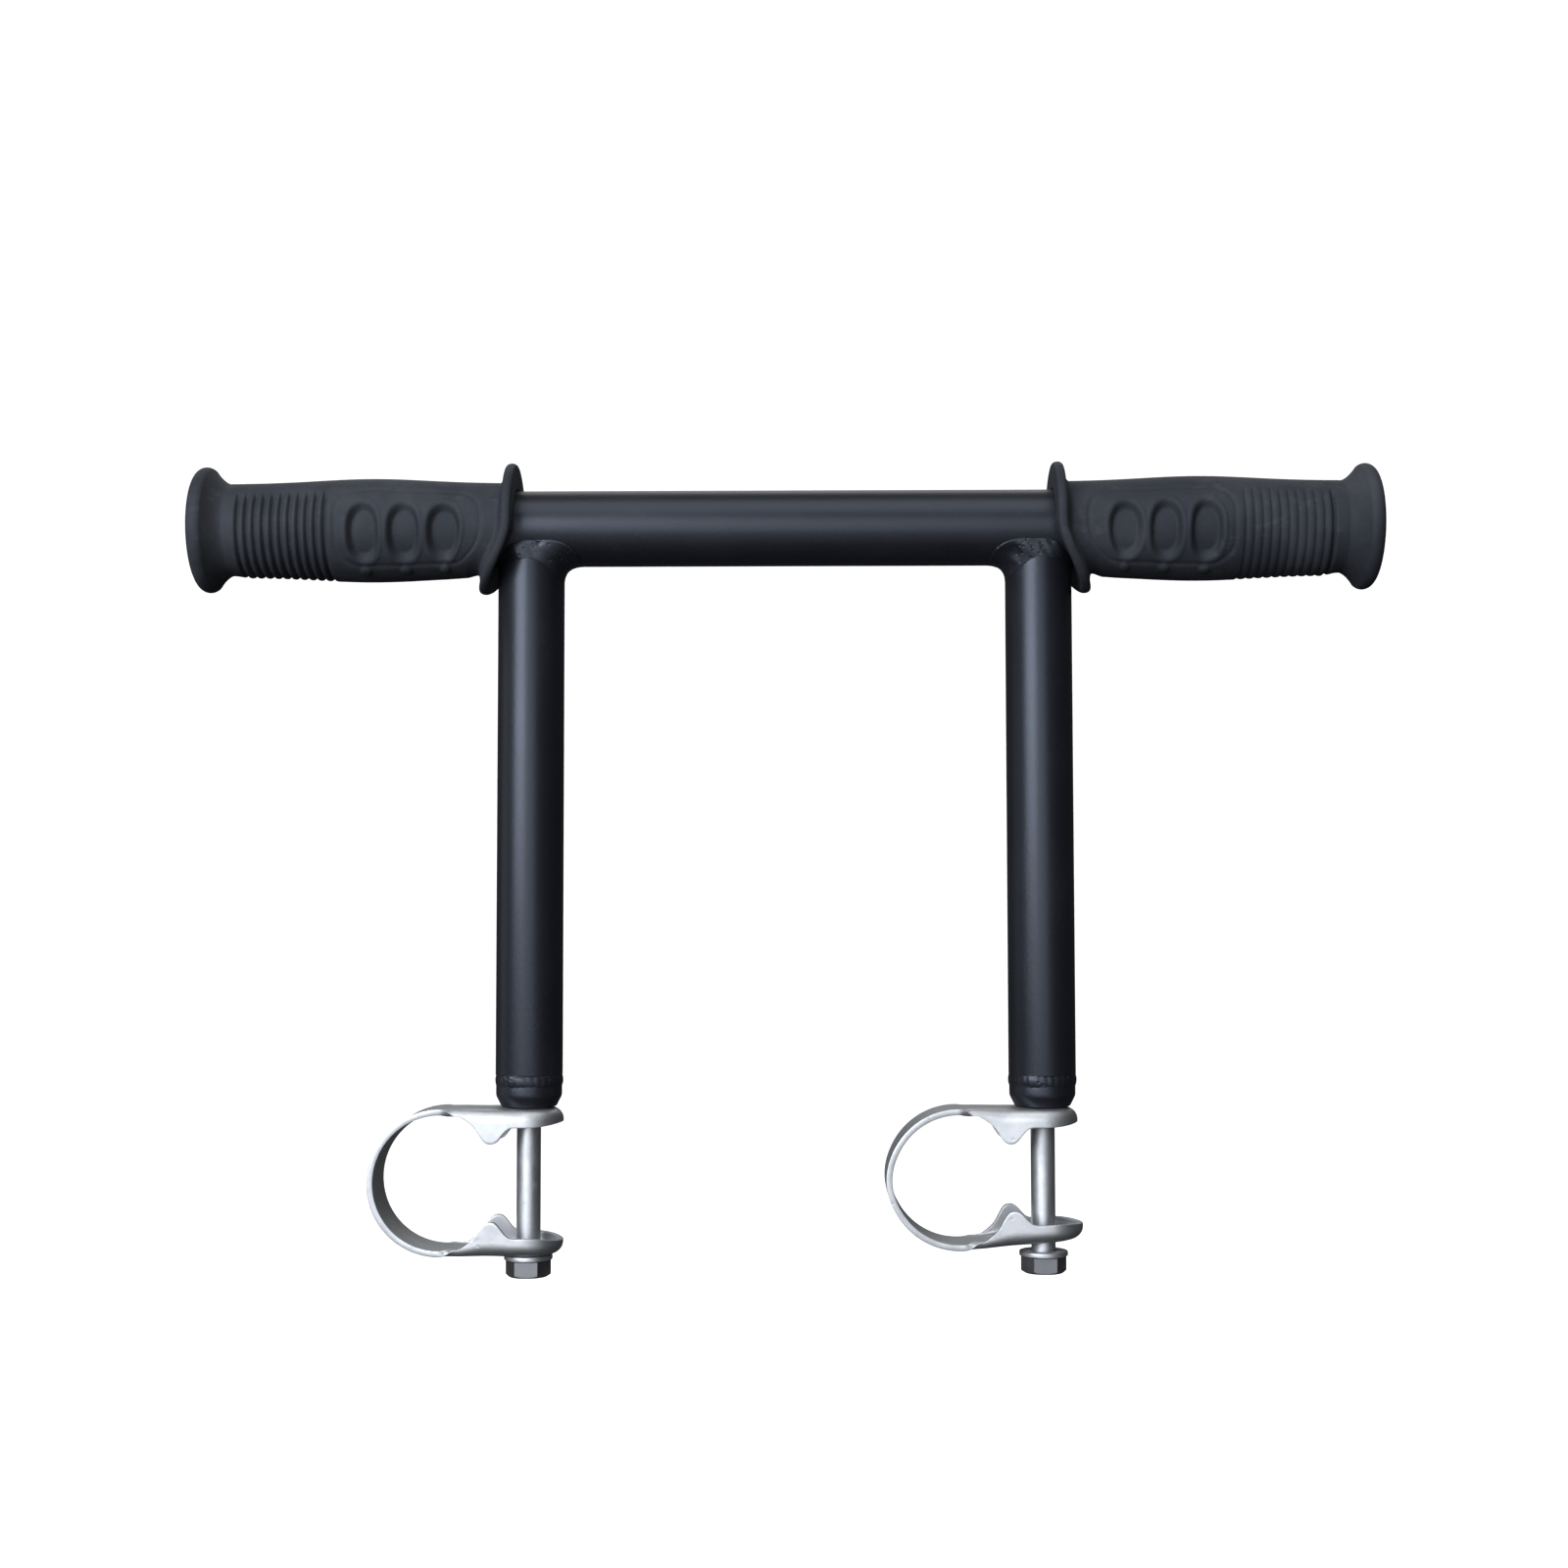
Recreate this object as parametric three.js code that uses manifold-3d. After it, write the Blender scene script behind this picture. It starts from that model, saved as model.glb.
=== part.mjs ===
// Clamp-on hand bar: a steel cross tube with a rubber grip at each end, carried on two welded legs.
// A strip clamp hangs under each leg on a long bolt that screws up into the leg's foot.
// Units are millimetres and +Z is up. X runs along the cross tube and Y along the clamp rings.
// The origin lies midway between the legs, at the height of the clamp rings' centres.

import * as THREE from "three";
import { mergeVertices } from "three/addons/utils/BufferGeometryUtils.js";
import Module from "manifold-3d";

const wasm = await Module();
wasm.setup();

// ---------------------------------------------------------------- driving dimensions

const GAP = 0.3; // clearance between pieces that touch
const LEG_SPACING = 170; // between the two leg axes
const AXIS_HEIGHT = 217; // cross tube's axis above the ring centres
const CROSS_TUBE = { radius: 12.7, wall: 1.5, halfLength: 193 };
const LEG_TUBE = { radius: 11.1, wall: 1.5 };
const STRIP = { thickness: 2, width: 20 }; // the clamp's pressed steel strip
const RING = { outer: 24, offset: 28 }; // outer radius, and ring centre to bolt axis
const EAR = { halfWidth: 11.5, rimDepth: 6, lobeAngle: 36 }; // dished ear round the bolt
const BOLT = { radius: 4, length: 70, headHeight: 5.3, acrossFlats: 13 };
const WASHER = { radius: 8, thickness: 1.6 };
const NUT = { height: 6.8, acrossFlats: 13 };
const FOOT = { height: 7.2, radius: 10.9, tipRadius: 9.2, chamfer: 4, spigot: 12.7 };
const GRIP = { outerFace: 197.5, endWall: 4.2, flangeRadius: 21, flangeThickness: 2.6, flare: 9 };
const GRIP_BARREL = { endRadius: 15.6, midRadius: 17, collar: 12, start: 48, end: 102 };
const GROOVES = { count: 11, pitch: 2.9, first: 16.6, depth: 0.9 };
const INNER_FLANGE = { place: 91, radius: 22, thickness: 3.2, push: 10.5, pushDepth: 18, pushLength: 22 };

// Each side's rest state: the left clamp is snug on its bolt. The right bolt is backed off,
// and the right clamp's lower jaw is sprung closed by a few degrees.
const SIDES = [
  { name: "left", sign: -1, jawClosed: 0, boltRaised: 0 },
  { name: "right", sign: 1, jawClosed: 5, boltRaised: 1.3 },
];

const ROUND = 36; // segments of a tube or weld
const SMALL_ROUND = 16; // segments of a bolt or hole
const GRIP_ROUND = 24; // segments of a rubber grip
const CURVE = 9; // segments of each curve in an outline
const BEAD_ROUND = 8; // segments round a weld bead
const WELD_TOLERANCE = 1e-4;

const FOOT_Z = RING.outer + GAP; // underside of the leg's foot, just above the upper ear
const RING_INNER = RING.outer - STRIP.thickness;
const BOLT_HOLE = BOLT.radius + 0.4;

const rad = THREE.MathUtils.degToRad;

// ---------------------------------------------------------------- finishes

function finish(color, roughness, metalness) {
  return () => new THREE.MeshStandardMaterial({ color, roughness, metalness });
}

const blackPaint = finish(0x14161a, 0.35, 0.2);
const blackRubber = finish(0x1a1b1d, 0.85, 0);
const zincPlate = finish(0xb9bdc2, 0.35, 0.9);

// ---------------------------------------------------------------- solids and booleans

// A closed three.js geometry as a solid, without the empty triangles that a pole leaves.
function solid(geometry) {
  const bare = new THREE.BufferGeometry();
  bare.setAttribute("position", geometry.getAttribute("position"));
  if (geometry.index) bare.setIndex(geometry.index);
  const merged = mergeVertices(bare, WELD_TOLERANCE);
  const corners = merged.index.array;
  const triVerts = [];
  for (let i = 0; i < corners.length; i += 3) {
    const [a, b, c] = corners.slice(i, i + 3);
    if (a !== b && b !== c && c !== a) triVerts.push(a, b, c);
  }
  return new wasm.Manifold(
    new wasm.Mesh({
      numProp: 3,
      vertProperties: merged.attributes.position.array,
      triVerts: new Uint32Array(triVerts),
    }),
  );
}

function geometryOf(body) {
  const mesh = body.getMesh();
  const geometry = new THREE.BufferGeometry();
  geometry.setAttribute("position", new THREE.BufferAttribute(mesh.vertProperties, mesh.numProp));
  geometry.setIndex(new THREE.BufferAttribute(mesh.triVerts, 1));
  geometry.computeVertexNormals();
  return geometry;
}

function piece(name, body, material) {
  const mesh = new THREE.Mesh(geometryOf(body), material());
  mesh.name = name;
  return mesh;
}

// A profile of [radius, height] points turned about +Z. The outer wall is listed upwards.
function turned(profile, segments = ROUND) {
  const points = profile.map(([radius, height]) => new THREE.Vector2(radius, height));
  return new THREE.LatheGeometry(points, segments).rotateX(Math.PI / 2);
}

// A straight-walled ring, or a disc when the inner radius is 0, from z0 up to z1.
function ringProfile(inner, outer, z0, z1) {
  const profile = [[inner, z0], [outer, z0], [outer, z1], [inner, z1]];
  return inner > 0 ? [...profile, [inner, z0]] : profile;
}

// The same profile turned about the cross tube's direction, pointing outwards on one side.
function turnedAlongX(profile, sign, segments = ROUND) {
  return turned(profile, segments).rotateY(sign * Math.PI / 2);
}

// An outline in X and Z carried along Y, centred on Y = 0.
function alongY(shape, width) {
  const options = { depth: width, bevelEnabled: false, curveSegments: CURVE };
  return new THREE.ExtrudeGeometry(shape, options).rotateX(Math.PI / 2).translate(0, width / 2, 0);
}

// An outline in X and Y carried up from z0 to z1.
function alongZ(shape, z0, z1) {
  const options = { depth: z1 - z0, bevelEnabled: false, curveSegments: CURVE };
  return new THREE.ExtrudeGeometry(shape, options).translate(0, 0, z0);
}

// A hexagonal prism with flats facing front and back, from z0 up to z1.
function hexPrism(acrossFlats, z0, z1) {
  const radius = acrossFlats / Math.sqrt(3);
  return new THREE.CylinderGeometry(radius, radius, z1 - z0, 6)
    .rotateX(Math.PI / 2)
    .rotateZ(Math.PI / 6)
    .translate(0, 0, (z0 + z1) / 2);
}

// ---------------------------------------------------------------- welded frame

// The space of the cross tube, grown by a clearance, used to cope the pieces under it.
function crossTubeSpace(clearance) {
  const { radius, halfLength } = CROSS_TUBE;
  const profile = ringProfile(0, radius + clearance, -halfLength, halfLength);
  return solid(turnedAlongX(profile, 1).translate(0, 0, AXIS_HEIGHT));
}

function crossTube() {
  const { radius, wall, halfLength } = CROSS_TUBE;
  const profile = ringProfile(radius - wall, radius, -halfLength, halfLength);
  return solid(turnedAlongX(profile, 1).translate(0, 0, AXIS_HEIGHT));
}

const TUBE_END_Z = FOOT_Z + FOOT.height + 3; // leaves a groove above the foot for its weld

// A leg about its own axis, coped at the top to sit against the cross tube.
function legTube() {
  const { radius, wall } = LEG_TUBE;
  const profile = ringProfile(radius - wall, radius, TUBE_END_Z, AXIS_HEIGHT);
  return solid(turned(profile)).subtract(crossTubeSpace(GAP));
}

// The weld bead at a leg's top: a ring bent up and down to follow the cross tube's underside.
function legWeld(sign) {
  const bead = { ring: LEG_TUBE.radius + 0.8, radius: 2.7 };
  const ring = new THREE.TorusGeometry(bead.ring, bead.radius, BEAD_ROUND, ROUND);
  const position = ring.getAttribute("position");
  for (let i = 0; i < position.count; i++) {
    const across = Math.min(Math.abs(position.getY(i)), LEG_TUBE.radius);
    const drop = Math.sqrt(CROSS_TUBE.radius ** 2 - across ** 2);
    position.setZ(i, position.getZ(i) + AXIS_HEIGHT - drop);
  }
  const legSpace = turned(ringProfile(0, LEG_TUBE.radius + GAP, 0, AXIS_HEIGHT));
  const legX = sign * LEG_SPACING / 2;
  const flangeSpace = rubber(outsideInnerFlange(), sign).translate([-legX, 0, 0]);
  return solid(ring).subtract(crossTubeSpace(GAP)).subtract(solid(legSpace)).subtract(flangeSpace);
}

// The turned plug that closes a leg's foot: a chamfered shoulder below and a spigot in the tube.
function footPlug() {
  const shoulderTop = FOOT_Z + FOOT.height;
  const spigotRadius = LEG_TUBE.radius - LEG_TUBE.wall - GAP;
  return solid(turned([
    [BOLT_HOLE, FOOT_Z],
    [FOOT.tipRadius, FOOT_Z],
    [FOOT.radius, FOOT_Z + FOOT.chamfer],
    [FOOT.radius, shoulderTop],
    [spigotRadius, shoulderTop],
    [spigotRadius, FOOT_Z + FOOT.spigot],
    [BOLT_HOLE, FOOT_Z + FOOT.spigot],
    [BOLT_HOLE, FOOT_Z],
  ]));
}

// The bead that fills the groove between a leg tube's end and its foot plug.
function footWeld() {
  const bead = { ring: 9.8, radius: 1.7 };
  const z = FOOT_Z + FOOT.height + 1.5;
  const ring = solid(new THREE.TorusGeometry(bead.ring, bead.radius, BEAD_ROUND, ROUND).translate(0, 0, z));
  const grooveInner = LEG_TUBE.radius - LEG_TUBE.wall;
  const grooveBottom = FOOT_Z + FOOT.height + GAP;
  const groove = ringProfile(grooveInner, FOOT.radius + 3, grooveBottom, TUBE_END_Z - GAP);
  return ring.intersect(solid(turned(groove)));
}

// The weld nut behind the foot plug, which takes the bolt's thread.
function legNut() {
  const z0 = FOOT_Z + FOOT.spigot + GAP;
  const hole = turned(ringProfile(0, BOLT_HOLE, z0 - 1, z0 + NUT.height + 1), SMALL_ROUND);
  return solid(hexPrism(NUT.acrossFlats, z0, z0 + NUT.height)).subtract(solid(hole));
}

// ---------------------------------------------------------------- rubber grips

// How far the leg's weld pushes the rubber outwards: nothing above the cross tube's axis, then
// a smooth step near the inner flange's lower edge, dying away along the sleeve.
function pushedOut(outwards, height) {
  const { place, push, pushDepth, pushLength } = INNER_FLANGE;
  const below = THREE.MathUtils.smoothstep(-height, 0, pushDepth);
  const near = 1 - THREE.MathUtils.smoothstep(outwards, place, place + pushLength);
  return outwards + push * below * near;
}

// A profile turned about the cross tube, with the weld's push added, on one side of the bar.
function rubber(profile, sign) {
  const geometry = turnedAlongX(profile, 1, GRIP_ROUND);
  const position = geometry.getAttribute("position");
  for (let i = 0; i < position.count; i++) {
    position.setX(i, pushedOut(position.getX(i), position.getZ(i)));
  }
  if (sign < 0) geometry.rotateZ(Math.PI);
  return solid(geometry.translate(0, 0, AXIS_HEIGHT));
}

// The faces and edge of the inner flange, from a starting radius out and back again.
function innerFlangeOutline(start, clearance) {
  const { place, radius, thickness } = INNER_FLANGE;
  const edge = radius + clearance;
  const inner = place - thickness / 2 - clearance;
  const outer = place + thickness / 2 + clearance;
  const radii = [start, (start + edge) / 2, edge - 1];
  return [
    ...radii.map((r) => [r, inner]),
    [edge, inner + 0.8],
    [edge, outer - 0.8],
    ...radii.reverse().map((r) => [r, outer]),
  ];
}

// The space from the inner flange's inner face outwards, used to trim the leg's weld.
function outsideInnerFlange() {
  const { place, radius, thickness, pushLength } = INNER_FLANGE;
  const face = place - thickness / 2 - GAP;
  const radii = [0, radius / 3, radius * 2 / 3, radius + 3];
  const outline = radii.map((r) => [r, face]);
  return [...outline, [radius + 3, place + pushLength], [0, place + pushLength]];
}

// The outside radius of the grip at a distance from its outer face: a gentle barrel.
function barrelRadius(distance) {
  const { endRadius, midRadius, collar, end } = GRIP_BARREL;
  const t = THREE.MathUtils.clamp((distance - collar) / (end - collar), 0, 1);
  return endRadius + (midRadius - endRadius) * Math.sin(Math.PI * t);
}

// A blind rubber sleeve pushed over the cross tube's end up to its end wall. Its outline runs
// from the bore's end out to the inner flange, along the barrel and grooves to the end flange.
function grip(sign) {
  const { flangeRadius, flangeThickness, flare, outerFace, endWall } = GRIP;
  const { start, end, endRadius } = GRIP_BARREL;
  const bore = CROSS_TUBE.radius + GAP;
  const outline = [[0, outerFace - endWall], [bore, outerFace - endWall]];
  outline.push(...innerFlangeOutline(bore, 0).slice(0, -1));
  const steps = 8;
  for (let i = 0; i <= steps; i++) {
    const distance = end + (start - end) * i / steps;
    outline.push([barrelRadius(distance), outerFace - distance]);
  }
  for (let i = GROOVES.count - 1; i >= 0; i--) {
    const centre = GROOVES.first + i * GROOVES.pitch;
    const radius = barrelRadius(centre);
    outline.push([radius - GROOVES.depth, outerFace - centre]);
    outline.push([radius, outerFace - centre + GROOVES.pitch / 2]);
  }
  const flareSteps = 4;
  for (let i = 0; i <= flareSteps; i++) {
    const t = i / flareSteps;
    const radius = endRadius + (flangeRadius - 0.8 - endRadius) * t ** 1.3;
    outline.push([radius, outerFace - flangeThickness - flare * (1 - t)]);
  }
  outline.push([flangeRadius, outerFace - flangeThickness + 0.8]);
  outline.push([flangeRadius, outerFace - 0.8]);
  outline.push([flangeRadius - 0.8, outerFace]);
  outline.push([0, outerFace]);
  return rubber(outline, sign);
}

// ---------------------------------------------------------------- strip clamps

// Half the ring seen along Y, and the flat ear that leaves its top at a tangent.
function jawOutline() {
  const earEnd = EAR.halfWidth + 1;
  const splitAngle = Math.PI - GAP / 2 / (RING.outer - STRIP.thickness / 2);
  const shape = new THREE.Shape();
  shape.moveTo(earEnd, RING_INNER);
  shape.lineTo(earEnd, RING.outer);
  shape.absarc(-RING.offset, 0, RING.outer, Math.PI / 2, splitAngle, false);
  shape.absarc(-RING.offset, 0, RING_INNER, splitAngle, Math.PI / 2, true);
  return shape;
}

// The ear's skirt seen along Y: it follows the ring down to a lobe, then rises to the rim.
function skirtOutline() {
  const { rimDepth, lobeAngle, halfWidth } = EAR;
  const rimZ = RING.outer - rimDepth;
  const lobeX = -RING.offset + RING_INNER * Math.cos(rad(lobeAngle));
  const lobeZ = RING_INNER * Math.sin(rad(lobeAngle));
  const shape = new THREE.Shape();
  shape.moveTo(halfWidth + 1, rimZ);
  shape.lineTo(halfWidth + 1, RING.outer);
  shape.lineTo(-RING.offset, RING.outer);
  shape.absarc(-RING.offset, 0, RING_INNER, Math.PI / 2, rad(lobeAngle), true);
  shape.bezierCurveTo(lobeX + 2.2, lobeZ - 1.4, lobeX + 3.2, rimZ, -BOLT.radius + 1, rimZ);
  return shape;
}

// The ear seen from above, swelling from the strip's width to a round end about the bolt.
function earPlan(inset) {
  const stripHalf = STRIP.width / 2 - inset;
  const earHalf = EAR.halfWidth - inset;
  const back = -RING.offset - RING.outer - 1;
  const neck = -18;
  const shape = new THREE.Shape();
  shape.moveTo(back, -stripHalf);
  shape.lineTo(neck - 4, -stripHalf);
  shape.bezierCurveTo(neck, -stripHalf, neck + 4, -earHalf, 0, -earHalf);
  shape.absarc(0, 0, earHalf, -Math.PI / 2, Math.PI / 2, false);
  shape.bezierCurveTo(neck + 4, earHalf, neck, stripHalf, neck - 4, stripHalf);
  shape.lineTo(back, stripHalf);
  return shape;
}

// The bolt's hole in an ear. A slot leaves room for the lower jaw to swing round the bolt.
function boltHole(slot) {
  const shape = new THREE.Shape();
  shape.absarc(0, 0, BOLT_HOLE, -Math.PI / 2, Math.PI / 2, false);
  shape.absarc(-slot, 0, BOLT_HOLE, Math.PI / 2, Math.PI * 3 / 2, false);
  return solid(alongZ(shape, 0, RING.outer + 1));
}

// The upper half of a clamp about its bolt axis, with its ear's dish open downwards.
function jaw(slot) {
  const wide = 2 * EAR.halfWidth + 2;
  const plan = solid(alongZ(earPlan(0), -1, RING.outer + 1));
  const hollow = solid(alongZ(earPlan(STRIP.thickness), -1, RING_INNER));
  const plate = solid(alongY(jawOutline(), wide)).intersect(plan);
  const skirt = solid(alongY(skirtOutline(), wide)).intersect(plan).subtract(hollow);
  return plate.add(skirt).subtract(boltHole(slot));
}

// The two jaws of one clamp. The lower one is the upper one turned over about X and
// swung about the ring's back.
function clamp(side) {
  const pivotX = -RING.offset - RING.outer + STRIP.thickness / 2;
  const slot = 3;
  const upper = piece(side.name + "_clamp_upper", jaw(0), zincPlate);
  const lowerBody = jaw(slot).rotate([180, 0, 0]).translate([-pivotX, 0, 0]);
  const lower = piece(side.name + "_clamp_lower", lowerBody, zincPlate);
  lower.position.x = pivotX;
  lower.rotation.y = -rad(side.jawClosed);
  return [upper, lower];
}

// ---------------------------------------------------------------- fasteners

const LEFT_WASHER_TOP = -RING.outer - GAP;

function washer(side) {
  const profile = ringProfile(BOLT_HOLE, WASHER.radius, -WASHER.thickness, 0);
  const mesh = piece(side.name + "_washer", solid(turned(profile, SMALL_ROUND * 2)), zincPlate);
  mesh.position.z = LEFT_WASHER_TOP + side.boltRaised;
  return mesh;
}

// A hexagon bolt pointing up, with chamfered head corners and tip. Its head's top is at z = 0.
function bolt(side) {
  const { radius, length, headHeight, acrossFlats } = BOLT;
  const cornerRadius = acrossFlats / Math.sqrt(3);
  const crown = turned([
    [0, -headHeight],
    [acrossFlats / 2 * 0.96, -headHeight],
    [cornerRadius, -headHeight + 0.8],
    [cornerRadius, 0],
    [0, 0],
  ]);
  const shank = turned([
    [0, -1],
    [radius, -1],
    [radius, length - 1],
    [radius - 1, length],
    [0, length],
  ], SMALL_ROUND);
  const head = solid(hexPrism(acrossFlats, -headHeight, 0)).intersect(solid(crown));
  const mesh = piece(side.name + "_bolt", head.add(solid(shank)), zincPlate);
  mesh.position.z = LEFT_WASHER_TOP - WASHER.thickness - GAP + side.boltRaised;
  return mesh;
}

// ---------------------------------------------------------------- assembly

const bar = new THREE.Group();
bar.add(piece("cross_tube", crossTube(), blackPaint));

for (const side of SIDES) {
  const leg = new THREE.Group();
  leg.position.x = side.sign * LEG_SPACING / 2;
  leg.add(piece(side.name + "_leg_tube", legTube(), blackPaint));
  leg.add(piece(side.name + "_leg_weld", legWeld(side.sign), blackPaint));
  leg.add(piece(side.name + "_foot_plug", footPlug(), blackPaint));
  leg.add(piece(side.name + "_foot_weld", footWeld(), blackPaint));
  leg.add(piece(side.name + "_leg_nut", legNut(), zincPlate));
  leg.add(...clamp(side), washer(side), bolt(side));
  bar.add(leg);
  bar.add(piece(side.name + "_grip", grip(side.sign), blackRubber));
}

export default bar;
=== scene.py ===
"""Clamp-on hand bar: finished surfaces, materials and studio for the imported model.

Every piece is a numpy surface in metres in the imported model's frame: X along the cross tube, Y along the
clamp rings away from the viewer, Z up, with the origin midway between the legs at ring height.
"""

import math

import bmesh
import bpy
import numpy as np
from bpy.props import FloatProperty, FloatVectorProperty, IntProperty, PointerProperty
from mathutils import Matrix, Vector


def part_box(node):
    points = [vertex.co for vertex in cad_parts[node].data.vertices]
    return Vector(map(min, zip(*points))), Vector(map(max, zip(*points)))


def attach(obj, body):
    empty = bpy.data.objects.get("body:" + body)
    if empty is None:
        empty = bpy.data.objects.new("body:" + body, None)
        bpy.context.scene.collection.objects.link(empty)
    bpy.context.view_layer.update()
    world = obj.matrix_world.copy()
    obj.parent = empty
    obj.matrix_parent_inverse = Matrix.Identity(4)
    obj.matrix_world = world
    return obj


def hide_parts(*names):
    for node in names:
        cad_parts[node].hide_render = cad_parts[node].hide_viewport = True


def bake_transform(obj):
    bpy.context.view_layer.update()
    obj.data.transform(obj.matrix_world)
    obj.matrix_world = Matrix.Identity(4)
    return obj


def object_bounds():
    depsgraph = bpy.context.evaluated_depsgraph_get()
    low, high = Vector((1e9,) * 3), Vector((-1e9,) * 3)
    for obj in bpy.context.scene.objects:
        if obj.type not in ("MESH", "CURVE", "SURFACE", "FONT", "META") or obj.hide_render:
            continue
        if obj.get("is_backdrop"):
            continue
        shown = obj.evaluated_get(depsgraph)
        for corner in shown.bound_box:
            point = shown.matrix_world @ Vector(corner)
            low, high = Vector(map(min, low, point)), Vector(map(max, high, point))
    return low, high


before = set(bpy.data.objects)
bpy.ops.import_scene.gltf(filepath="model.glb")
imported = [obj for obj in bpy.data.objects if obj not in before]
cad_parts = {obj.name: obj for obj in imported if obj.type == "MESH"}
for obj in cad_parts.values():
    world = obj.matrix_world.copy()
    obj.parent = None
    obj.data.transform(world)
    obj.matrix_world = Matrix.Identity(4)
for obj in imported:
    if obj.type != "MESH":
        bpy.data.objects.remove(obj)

bl_info = {
    "name": "Clamp-on hand bar",
    "version": (1, 0, 0),
    "blender": (4, 5, 0),
    "location": "3D View > Sidebar > Hand Bar",
    "description": "Builds the finished surfaces of a clamp-on hand bar over its packed model",
    "category": "Object",
}

SIDES = ("left", "right")
SIGN = {"left": -1.0, "right": 1.0}
HOLE = 0.0044  # radius of every clearance hole for a bolt


# ---------------------------------------------------------------- settings

def length(name, description, default, **limits):
    return FloatProperty(name=name, description=description, default=default, unit="LENGTH",
                         subtype="DISTANCE", precision=5, **limits)


def colour(name, description, default):
    return FloatVectorProperty(name=name, description=description, default=default, subtype="COLOR",
                               size=3, min=0.0, max=1.0)


class HANDBAR_PG_frame(bpy.types.PropertyGroup):
    """Sizes of the welded tube frame."""
    tube_wall: length("Tube wall", "Wall thickness of the cross tube and the legs", 0.0015, min=0.0005)
    edge_round: length("Edge rounding", "Rounding of the tubes' cut edges", 0.0004, min=0.00005)
    bead: length("Weld bead", "Radius of the bead at a leg's top", 0.0026, min=0.0005)
    bead_inner: length("Inner fillet", "Extra bead towards the bar's middle", 0.0018, min=0.0)
    paint: colour("Paint", "Satin black paint", (0.0072, 0.0079, 0.0108))
    paint_dust: colour("Paint dust", "Fine dust on the paint", (0.060, 0.063, 0.068))


class HANDBAR_PG_grip(bpy.types.PropertyGroup):
    """Sizes of the moulded rubber grips."""
    end_radius: length("End radius", "Radius of the grip beside its flanges", 0.0154, min=0.013)
    swell: length("Swell", "How much the barrel grows at its fullest", 0.0016, min=0.0)
    sag: length("Sag", "How much fuller the barrel is underneath", 0.0010, min=0.0)
    groove_depth: length("Groove depth", "Depth of the rings moulded near the outer end", 0.0013,
                         min=0.0)
    groove_count: IntProperty(name="Grooves", description="Rings moulded near the outer end", default=11,
                              min=0)
    recess_depth: length("Recess depth", "Depth of the three oval finger recesses", 0.0024, min=0.0)
    rubber: colour("Rubber", "Matt moulded rubber", (0.0165, 0.0178, 0.0218))
    rubber_dust: colour("Rubber bloom", "Grey bloom and dust on the rubber", (0.068, 0.071, 0.078))


class HANDBAR_PG_clamp(bpy.types.PropertyGroup):
    """Sizes of the strip clamps and their fasteners."""
    strip: length("Strip", "Thickness of the pressed strip", 0.002, min=0.0005)
    fold: length("Fold", "Bend radius of the ear's folded rim, to the strip's middle", 0.003, min=0.001)
    rim: length("Rim", "Depth of the ear's rim below the strip's middle", 0.005, min=0.002)
    zinc: colour("Zinc", "Bright zinc plate on the strip", (0.55, 0.565, 0.585))
    zinc_dull: colour("Dull zinc", "Dull patches in the plate", (0.34, 0.355, 0.38))
    fastener: colour("Fastener zinc", "Zinc plate on bolts, nuts and washers", (0.61, 0.63, 0.655))
    # The bolt heads are given a darker colour than the other zinc fasteners.
    head: colour("Bolt head", "Duller plate on the bolt heads", (0.215, 0.22, 0.235))


class HANDBAR_PG_stage(bpy.types.PropertyGroup):
    """The studio round the object."""
    floor: colour("Floor", "Plain pale floor and backdrop", (0.93, 0.93, 0.93))
    floor_drop: length("Floor drop", "Floor below the lowest point of the object", 0.12, min=0.0)
    lens: FloatProperty(name="Lens", description="Focal length in millimetres on a 36 mm frame",
                        default=50.55, min=10.0)


SETTINGS = {
    "frame": HANDBAR_PG_frame,
    "grip": HANDBAR_PG_grip,
    "clamp": HANDBAR_PG_clamp,
    "stage": HANDBAR_PG_stage,
}


def settings(context, group):
    return getattr(context.scene, "handbar_" + group)


# ---------------------------------------------------------------- numbers

def smoothstep(low, high, value):
    """0 below low, 1 above high, 3t^2 - 2t^3 between."""
    t = np.clip((value - low) / (high - low), 0.0, 1.0)
    return t * t * (3.0 - 2.0 * t)


def smooth_min(a, b, width):
    """The lesser of a and b, with the corner between them rounded over about width."""
    return 0.5 * (a + b - np.sqrt((a - b) ** 2 + width ** 2))


def lumps(points, size, seed=0):
    """Smooth uneven waves of about the given size, between -1 and 1: a mean of sines of p . d / size."""
    rng = np.random.default_rng(seed)
    directions = rng.normal(size=(9, 3))
    directions /= np.linalg.norm(directions, axis=1, keepdims=True)
    directions *= rng.uniform(0.6, 1.5, size=(9, 1)) * 2.0 / size
    phases = rng.uniform(0.0, 2.0 * math.pi, size=9)
    return np.sin(points @ directions.T + phases).mean(axis=-1) * 1.6


def rounded(corners, radius, steps=5):
    """A closed outline with each corner replaced by a curve: (1-t)^2 A + 2t(1-t) P + t^2 B."""
    p = np.asarray(corners, float)
    before, after = np.roll(p, 1, axis=0) - p, np.roll(p, -1, axis=0) - p
    len_before = np.linalg.norm(before, axis=1, keepdims=True)
    len_after = np.linalg.norm(after, axis=1, keepdims=True)
    cut = np.broadcast_to(np.asarray(radius, float).reshape(-1, 1), len_before.shape)
    a = p + before / len_before * np.minimum(cut, 0.45 * len_before)
    b = p + after / len_after * np.minimum(cut, 0.45 * len_after)
    t = np.linspace(0.0, 1.0, steps)[None, :, None]
    curve = (1 - t) ** 2 * a[:, None] + 2 * t * (1 - t) * p[:, None] + t ** 2 * b[:, None]
    return curve.reshape(-1, 2)


def turn(count):
    """Angles round a full turn, without the last one that would repeat the first."""
    return np.linspace(0.0, 2.0 * math.pi, count, endpoint=False)


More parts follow.
